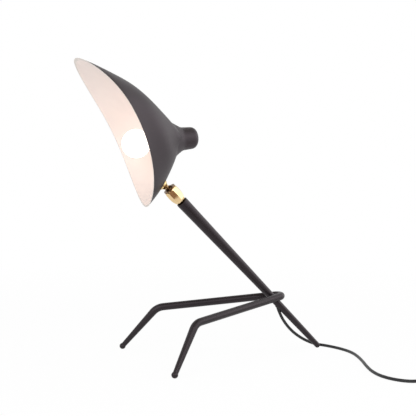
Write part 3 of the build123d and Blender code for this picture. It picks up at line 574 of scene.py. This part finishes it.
# %% Give every solid its finish
finishes = [
    # The stem's top plug is brass in black paint: painted shade in the tube's open end.
    (black_coat, "stem_tube stem_top_plug leg_hoop hoop_braze"),
    (black_coat, "rear_foot_tip front_foot_far front_foot_near"),
    (brass, "swivel_socket"),
    # Painted shade and painted dark reflection: the ring and the ball take the brass painted dark.
    (dark_brass, "swivel_ring swivel_ball"),
    (nylon, "swivel_cup"),
    (steel, "disc_spring neck_saddle_washer neck_lock_nut holder_boss holder_nipple holder_lock_nut"),
    (steel, "switch_screws bulb_cap"),
    (holder_black, "holder_base holder_sleeve"),
    (plain_brass, "shade_neck holder_screw_shell holder_contact bulb_contact"),
    (plain_brass, "switch_terminals switch_lever"),
    (opal_glass, "bulb_globe"),
    (flex_black, "stem_lead head_lead"),
    (rubber_black, "cord_grommet"),
    (moulded_black, "switch_base switch_cover switch_rocker plug_body"),
    (loop_tape, "cord_tie"),
    (nickel, "plug_pins"),
]
dressed = set()
for finish, names in finishes:
    for name in names.split():
        nodes[name].data.materials.clear()
        nodes[name].data.materials.append(finish)
        dressed.add(name)
lamp_cord.data.materials.append(flex_black)
mains_cord.data.materials.append(flex_black)
print("not dressed here:", sorted(set(nodes) - dressed))

# %% [markdown]
# ## Moulded details
# The switch and the plug are moulded with ribs for the fingers, the lampholder has a thread round its
# sleeve for a shade ring, and a ringed boot guards the cord at both ends of the switch. They could be
# modelled one by one, but all of them repeat by a rule, so Geometry Nodes draw them. Each tree has named
# sizes and ends in plain faces with a finish. The sizes are set by the sockets' identifiers, and the
# result is kept as an ordinary mesh.

# %% Helpers that build a tree
def new_tree(name, sizes):
    """An empty geometry tree with named inputs, as (title, kind of socket)."""
    tree = bpy.data.node_groups.new(name, "GeometryNodeTree")
    tree.interface.new_socket("Geometry", in_out="OUTPUT", socket_type="NodeSocketGeometry")
    for title, kind in sizes + [("Finish", "Material")]:
        tree.interface.new_socket(title, in_out="INPUT", socket_type="NodeSocket" + kind)
    return tree, tree.nodes.new("NodeGroupInput").outputs


def add_node(tree, kind, settings=(), **inputs):
    """A node of a tree, with settings, and inputs that are numbers or other nodes' sockets."""
    node = tree.nodes.new(kind)
    for title, value in settings:
        setattr(node, title, value)
    for title, value in inputs.items():
        key = int(title[1:]) if title[1:].isdigit() else title.replace("_", " ")
        socket = node.inputs[key]
        if isinstance(value, bpy.types.NodeSocket):
            tree.links.new(value, socket)
        else:
            socket.default_value = value
    return node.outputs[0]


def sum_of(tree, operation, first, second):
    """The result of one sum on two values."""
    return add_node(tree, "ShaderNodeMath", [("operation", operation)], _0=first, _1=second)


print("helpers:", new_tree.__name__, add_node.__name__, sum_of.__name__)

# %% Forms that several trees share
end_loss = 0.75


def thin_ends(tree, radius, sharpness):
    """A radius that shrinks to a quarter at both ends of a curve."""
    along = tree.nodes.new("GeometryNodeSplineParameter").outputs["Factor"]
    from_middle = sum_of(tree, "SUBTRACT", sum_of(tree, "MULTIPLY", along, 2.0), 1.0)
    drop = sum_of(tree, "POWER", sum_of(tree, "ABSOLUTE", from_middle, 0.0), sharpness)
    kept = sum_of(tree, "SUBTRACT", 1.0, sum_of(tree, "MULTIPLY", drop, end_loss))
    return sum_of(tree, "MULTIPLY", radius, kept)


def round_bar(tree, path, radius, corners):
    """A closed round bar along a path."""
    section = add_node(tree, "GeometryNodeCurvePrimitiveCircle", Resolution=corners, Radius=1.0)
    return add_node(
        tree, "GeometryNodeCurveToMesh", Curve=path, Profile_Curve=section, Scale=radius, Fill_Caps=True
    )


def close_tree(tree, geometry, finish):
    """Ends a tree: instances become faces, which get their finish."""
    faces = add_node(tree, "GeometryNodeRealizeInstances", Geometry=geometry)
    dressed_faces = add_node(tree, "GeometryNodeSetMaterial", Geometry=faces, Material=finish)
    tree.links.new(dressed_faces, tree.nodes.new("NodeGroupOutput").inputs["Geometry"])


print("bars lose", end_loss, "of their radius at the ends")

# %% Run a tree and keep its mesh
detail_sharp_angle = math.radians(50)


def grow(name, tree, place, **sizes):
    """Runs a tree with these sizes, and keeps the result at a place as a plain mesh."""
    piece = bpy.data.objects.new(name, bpy.data.meshes.new(name))
    scene.collection.objects.link(piece)
    modifier = piece.modifiers.new("tree", "NODES")
    modifier.node_group = tree
    entries = [entry for entry in tree.interface.items_tree if entry.in_out == "INPUT"]
    sockets = {entry.name: entry.identifier for entry in entries}
    for title, value in sizes.items():
        modifier[sockets[title.replace("_", " ")]] = value
    evaluated = piece.evaluated_get(bpy.context.evaluated_depsgraph_get())
    mesh = bpy.data.meshes.new_from_object(evaluated)
    piece.modifiers.clear()
    piece.data = mesh
    mesh.transform(place)
    mesh.shade_smooth()
    mesh.set_sharp_from_angle(angle=detail_sharp_angle)
    print(name, len(mesh.polygons), "faces")
    return piece


print("details are sharp above", round(math.degrees(detail_sharp_angle)), "degrees")

# %% [markdown]
# A row of ribs is one bar, set out along a line. The bars thin towards their ends, so that they run
# out into the surface as moulded ribs do. The switch has a row on each side of its rocker, and the
# plug has one on its upper face. Each row is sunk a little, so that no gap shows under it.

# %% A tree for a row of ribs
bar_points = 20
bar_corners = 10
bar_sharpness = 8.0
rib_row, sizes = new_tree(
    "rib_row", [("Count", "Int"), ("Spacing", "Float"), ("Length", "Float"), ("Radius", "Float")]
)
bar_line = add_node(
    rib_row, "GeometryNodeCurvePrimitiveLine", [("mode", "DIRECTION")], Direction=(0.0, 1.0, 0.0),
    Length=sizes["Length"],
)
bar_line = add_node(rib_row, "GeometryNodeResampleCurve", Curve=bar_line, Count=bar_points)
bar_radius = thin_ends(rib_row, sizes["Radius"], bar_sharpness)
bar = round_bar(rib_row, bar_line, bar_radius, bar_corners)
step = add_node(rib_row, "ShaderNodeCombineXYZ", X=sizes["Spacing"])
row = add_node(rib_row, "GeometryNodeMeshLine", [("mode", "OFFSET")], Count=sizes["Count"], Offset=step)
ribs = add_node(rib_row, "GeometryNodeInstanceOnPoints", Points=row, Instance=bar)
close_tree(rib_row, ribs, sizes["Finish"])
print("tree", rib_row.name, "has", len(rib_row.nodes), "nodes")


# %% Ribs on the switch and the plug
def standing_at(place, along):
    """The matrix of what stands upright at a place and points along a level direction."""
    across = Vector((0, 0, 1)).cross(along)
    return Matrix.Translation(place) @ Matrix((along, across, (0, 0, 1))).transposed().to_4x4()


rib_spacing = 2.6 * millimetre
rib_radius = 0.55 * millimetre
rib_sunk = 0.15 * millimetre
switch_top = 15.6 * millimetre
switch_rib_length = 15.0 * millimetre
switch_rib_starts = {
    "switch_ribs_lamp_side": 6.0 * millimetre,
    "switch_ribs_plug_side": 44.2 * millimetre,
}
switch_frame = standing_at((*to_switch[-1][:2], switch_top - rib_sunk), switch_way)
switch_ribs = []
for name, start in switch_rib_starts.items():
    corner = Matrix.Translation((start, -switch_rib_length / 2, 0))
    ribs = grow(
        name, rib_row, switch_frame @ corner, Count=4, Spacing=rib_spacing, Length=switch_rib_length,
        Radius=rib_radius, Finish=moulded_black,
    )
    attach(ribs, "stand")
    switch_ribs.append(ribs)
plug_top = 14.0 * millimetre
plug_rib_start = 36.0 * millimetre
plug_rib_length = 16.0 * millimetre
plug_frame = standing_at((tail[-1].x, tail[-1].y, plug_top - rib_sunk), coil_way)
plug_corner = Matrix.Translation((plug_rib_start, -plug_rib_length / 2, 0))
plug_ribs = grow(
    "plug_ribs", rib_row, plug_frame @ plug_corner, Count=5, Spacing=rib_spacing,
    Length=plug_rib_length, Radius=rib_radius, Finish=moulded_black,
)
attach(plug_ribs, "stand")

# %% [markdown]
# A boot has to follow the cord exactly, so its tree reads the cord's own spline: a copy without
# thickness is cut to the boot's length, and a round section runs along it. The section shrinks along
# the boot and swells at every ring. One tree makes the boots at both ends of the switch.

# %% A tree for a ringed boot
boot_points = 110
boot_corners = 20
ringed_boot, sizes = new_tree(
    "ringed_boot",
    [("Path", "Object"), ("Length", "Float"), ("Root", "Float"), ("Tip", "Float"), ("Rings", "Float"),
     ("Ring depth", "Float")],
)
path_info = ringed_boot.nodes.new("GeometryNodeObjectInfo")
ringed_boot.links.new(sizes["Path"], path_info.inputs["Object"])
stretch = add_node(
    ringed_boot, "GeometryNodeTrimCurve", [("mode", "LENGTH")], Curve=path_info.outputs["Geometry"],
    _4=0.0, _5=sizes["Length"],
)
stretch = add_node(ringed_boot, "GeometryNodeResampleCurve", Curve=stretch, Count=boot_points)
along_boot = ringed_boot.nodes.new("GeometryNodeSplineParameter").outputs["Factor"]
whole_shrink = sum_of(ringed_boot, "SUBTRACT", sizes["Tip"], sizes["Root"])
shrink = sum_of(ringed_boot, "MULTIPLY", along_boot, whole_shrink)
rings_passed = sum_of(ringed_boot, "MULTIPLY", along_boot, sizes["Rings"])
phase = sum_of(ringed_boot, "MULTIPLY", rings_passed, math.tau)
swell = sum_of(ringed_boot, "MAXIMUM", sum_of(ringed_boot, "SINE", phase, 0.0), 0.0)
boot_radius = sum_of(
    ringed_boot, "ADD", sum_of(ringed_boot, "ADD", sizes["Root"], shrink),
    sum_of(ringed_boot, "MULTIPLY", swell, sizes["Ring depth"]),
)
boot = round_bar(ringed_boot, stretch, boot_radius, boot_corners)
close_tree(ringed_boot, boot, sizes["Finish"])
print("tree", ringed_boot.name, "has", len(ringed_boot.nodes), "nodes")


# %% Boots that guard the cord
def boot_on_cord(name, points, **boot_sizes):
    """A ringed boot along the first stretch of a cord. The bare spline is taken away after use."""
    line = lay_cord(name + "_line", points)
    line.data.bevel_depth = 0.0
    boot = grow(name, ringed_boot, Matrix(), Path=line, Finish=rubber_black, **boot_sizes)
    bpy.data.objects.remove(line)
    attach(boot, "stand")
    return boot


boot_sizes = dict(
    Length=21.0 * millimetre, Root=4.4 * millimetre, Tip=2.9 * millimetre, Rings=7.0,
    Ring_depth=0.35 * millimetre,
)
lamp_side_boot = boot_on_cord("switch_boot_lamp_side", lamp_cord_points[::-1], **boot_sizes)
plug_side_boot = boot_on_cord("switch_boot_plug_side", mains_cord_points, **boot_sizes)

# %% [markdown]
# The lampholder's sleeve has a coarse thread that holds a shade ring. A Screw modifier could turn it,
# but a spiral curve can carry the same round bar as the ribs, with ends that run out. The spiral is
# turned onto the axis of the housing at the shade's back, which leans a little against the shade.

# %% A tree for a thread
helix_points_per_turn = 40
thread_corners = 8
thread_sharpness = 24.0
spiral_thread, sizes = new_tree(
    "spiral_thread", [("Turns", "Float"), ("Around", "Float"), ("Height", "Float"), ("Radius", "Float")]
)
helix = add_node(
    spiral_thread, "GeometryNodeCurveSpiral", Resolution=helix_points_per_turn, Rotations=sizes["Turns"],
    Start_Radius=sizes["Around"], End_Radius=sizes["Around"], Height=sizes["Height"],
)
thread_radius = thin_ends(spiral_thread, sizes["Radius"], thread_sharpness)
thread = round_bar(spiral_thread, helix, thread_radius, thread_corners)
close_tree(spiral_thread, thread, sizes["Finish"])
print("tree", spiral_thread.name, "has", len(spiral_thread.nodes), "nodes")

# %% Thread of the lampholder
housing_lean = math.radians(20.5)
housing_along = 61.14 * millimetre
housing_behind = 125.78 * millimetre
thread_from_end = 45.0 * millimetre
housing_end = shade_tip + housing_along * along_shade + housing_behind * behind_shade
into_shade = math.sin(housing_lean) * along_shade - math.cos(housing_lean) * behind_shade
beside = math.cos(housing_lean) * along_shade + math.sin(housing_lean) * behind_shade
onto_axis = Matrix((beside, into_shade.cross(beside), into_shade)).transposed().to_4x4()
thread_start = housing_end + thread_from_end * into_shade
holder_thread = grow(
    "holder_thread", spiral_thread, Matrix.Translation(thread_start) @ onto_axis, Turns=8.5,
    Around=12.5 * millimetre, Height=21.0 * millimetre, Radius=0.6 * millimetre, Finish=holder_black,
)
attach(holder_thread, "head")

# %% [markdown]
# The rocker's two marks, a stroke and a ring, are moulded on its hollow top. A bump in the material
# would look flat from the side, so each mark is a thin round curve on one half of the rocker, tilted
# with it and then kept as a mesh.

# %% Marks on the rocker
rocker_pivot = Vector((0.279605, -0.312768, 0.0130))
rocker_tilt = math.radians(-8.0)
mark_along = 5.8 * millimetre
mark_height = 3.31 * millimetre
mark_slope = math.radians(8.0)
mark_size = 1.9 * millimetre
rocker_frame = standing_at(rocker_pivot, switch_way) @ Matrix.Rotation(rocker_tilt, 4, "Y")
marks = bpy.data.curves.new("rocker_marks", "CURVE")
marks.dimensions = "3D"
marks.bevel_depth = 0.35 * millimetre
marks.bevel_resolution = 3
marks.use_fill_caps = True
ring_corners = 24
ring_angles = [math.tau * number / ring_corners for number in range(ring_corners)]
ring_points = [Vector((math.cos(angle), math.sin(angle), 0)) * mark_size for angle in ring_angles]
stroke_points = [Vector((0, mark_size * (share - 1), 0)) for share in (0.0, 0.5, 1.0, 1.5, 2.0)]
for points, side in ((stroke_points, -1), (ring_points, 1)):
    spline = marks.splines.new("POLY")
    spline.points.add(len(points) - 1)
    spline.use_cyclic_u = side == 1
    leaning = Matrix.Rotation(-side * mark_slope, 4, "Y")
    on_half = Matrix.Translation((side * mark_along, 0, mark_height)) @ leaning
    for place, point in zip(spline.points, points):
        place.co = (*(rocker_frame @ on_half @ point), 1)
mark_curve = bpy.data.objects.new("mark_curve", marks)
scene.collection.objects.link(mark_curve)
evaluated = mark_curve.evaluated_get(bpy.context.evaluated_depsgraph_get())
rocker_marks = bpy.data.objects.new("rocker_marks", bpy.data.meshes.new_from_object(evaluated))
scene.collection.objects.link(rocker_marks)
bpy.data.objects.remove(mark_curve)
rocker_marks.data.materials.clear()
rocker_marks.data.materials.append(nylon)
rocker_marks.data.shade_smooth()
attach(rocker_marks, "switch_rocker")
print("rocker marks", len(rocker_marks.data.polygons), "faces")

# %% [markdown]
# Now that the switch and the plug are dressed, we list the pieces that hang on each cord's far end.

# %% List the pieces on the cords
switch_nodes = "switch_base switch_cover switch_screws switch_lever switch_terminals switch_rocker"
plug_nodes = "plug_body plug_pins cord_tie"
on_lamp_cord = [nodes[name] for name in switch_nodes.split()]
on_lamp_cord += [lamp_side_boot, *switch_ribs, rocker_marks]
on_mains_cord = [nodes[name] for name in plug_nodes.split()]
on_mains_cord += [plug_ribs, plug_side_boot]
print("pieces on the cords:", len(on_lamp_cord), len(on_mains_cord))

# %% [markdown]
# ## The studio
# The picture has a white background. A grey floor could be lit until it turns white, but the lamp would
# then be lit too strongly as well. So the floor and the world look white to the camera, to mirrors and
# to glass, and light the lamp only at a plain level. The floor still takes a faint shadow near the feet,
# which fades out with the distance.

# %% Floor
floor_size = 12.0
shadow_reach = 0.45
near_glow = 0.95
work = bmesh.new()
bmesh.ops.create_grid(work, x_segments=1, y_segments=1, size=floor_size)
floor_mesh = bpy.data.meshes.new("floor")
work.to_mesh(floor_mesh)
work.free()
floor = bpy.data.objects.new("floor", floor_mesh)
scene.collection.objects.link(floor)


def seen_directly(tree):
    """A value of 1 for rays from the camera, from mirrors and through glass."""
    path = tree.nodes.new("ShaderNodeLightPath")
    total = path.outputs["Is Camera Ray"]
    for title in ("Is Glossy Ray", "Is Transmission Ray"):
        total = sum_of(tree, "MAXIMUM", total, path.outputs[title])
    return total


white_floor, tree, shader = new_finish("white_floor")
shader.inputs["Base Color"].default_value = (0.90, 0.90, 0.90, 1)
shader.inputs["Roughness"].default_value = 1.0
shader.inputs["Specular IOR Level"].default_value = 0.0
shadow_fade = 3 * shadow_reach
glow = tree.nodes.new("ShaderNodeEmission")
glow.inputs["Color"].default_value = (1, 1, 1, 1)
from_lamp = tree.nodes.new("ShaderNodeVectorMath")
from_lamp.operation = "LENGTH"
tree.links.new(tree.nodes.new("ShaderNodeTexCoord").outputs["Object"], from_lamp.inputs[0])
far_share = add_range(tree, from_lamp.outputs["Value"], shadow_reach, shadow_fade, near_glow, 1.0)
blend = tree.nodes.new("ShaderNodeMixShader")
tree.links.new(sum_of(tree, "MULTIPLY", seen_directly(tree), far_share), blend.inputs["Fac"])
tree.links.new(shader.outputs["BSDF"], blend.inputs[1])
tree.links.new(glow.outputs["Emission"], blend.inputs[2])
tree.links.new(blend.outputs["Shader"], tree.nodes["Material Output"].inputs["Surface"])
floor_mesh.materials.append(white_floor)
print("floor", floor_size * 2, "m wide")

# %% World
world_light = 0.55
world = bpy.data.worlds.new("studio")
world.use_nodes = True
scene.world = world
tree = world.node_tree
background = tree.nodes["Background"]
background.inputs["Color"].default_value = (1, 1, 1, 1)
brightness = add_range(tree, seen_directly(tree), 0.0, 1.0, world_light, 1.0)
tree.links.new(brightness, background.inputs["Strength"])
print("world lights the lamp at", world_light)

# %% [markdown]
# Five large area lamps light the object, and all of them face its middle. The key lamp and the side
# lamp stand on the right and model the shade's back. The fill lamp on the left opens the shade's inside.
# The front lamp draws the highlight along the stem, and the top lamp lights what faces up.

# %% Lamps
def soft_lamp(name, place, aim, size, power):
    """A square area lamp that faces a point."""
    data = bpy.data.lights.new(name, "AREA")
    data.size = size
    data.energy = power
    lamp = bpy.data.objects.new(name, data)
    scene.collection.objects.link(lamp)
    way = Vector(aim) - Vector(place)
    lamp.matrix_world = Matrix.Translation(place) @ way.to_track_quat("-Z", "Y").to_matrix().to_4x4()
    print(name, power, "W")


lamp_middle = (0.0, 0.0, 0.22)
soft_lamp("key", (1.7, -0.9, 0.85), lamp_middle, size=1.4, power=8.0)
soft_lamp("side", (1.9, 0.2, 0.9), lamp_middle, size=1.4, power=5.5)
soft_lamp("fill", (-1.9, -1.3, 1.0), lamp_middle, size=1.6, power=18.0)
soft_lamp("front", (0.1, -1.75, 1.15), lamp_middle, size=0.8, power=12.0)
soft_lamp("top", (0.1, 0.4, 2.2), lamp_middle, size=1.6, power=5.0)

# %% [markdown]
# Polished brass looks flat when all that it mirrors is white, and black paint looks grey. A studio lays
# dark cards round the object, so that some of its faces mirror something dark and the forms stand
# apart. One card lies on the floor before the lamp, and one hangs above it. They are seen only in
# reflections: the camera doesn't see them, and they cast no shadow and take no light away.

# %% Dark cards for the reflections
dark_card, tree, shader = new_finish("dark_card")
shader.inputs["Base Color"].default_value = (0.28, 0.18, 0.12, 1)
shader.inputs["Roughness"].default_value = 1.0
for name, place, half_size in (
    ("floor_card", (-0.05, -0.83, 0.004), 0.5),
    ("upper_card", (-0.10, 0.0, 1.30), 0.6),
):
    work = bmesh.new()
    bmesh.ops.create_grid(work, x_segments=1, y_segments=1, size=half_size)
    card_mesh = bpy.data.meshes.new(name)
    work.to_mesh(card_mesh)
    work.free()
    card_mesh.materials.append(dark_card)
    card = bpy.data.objects.new(name, card_mesh)
    card.location = place
    scene.collection.objects.link(card)
    for ray in ("camera", "shadow", "diffuse", "transmission"):
        setattr(card, "visible_" + ray, False)
    print(name, half_size * 2, "m wide")

# %% [markdown]
# Last, the colours are shown as they are, without a film look.

# %% Show the colours as they are
scene.view_settings.view_transform = "Standard"
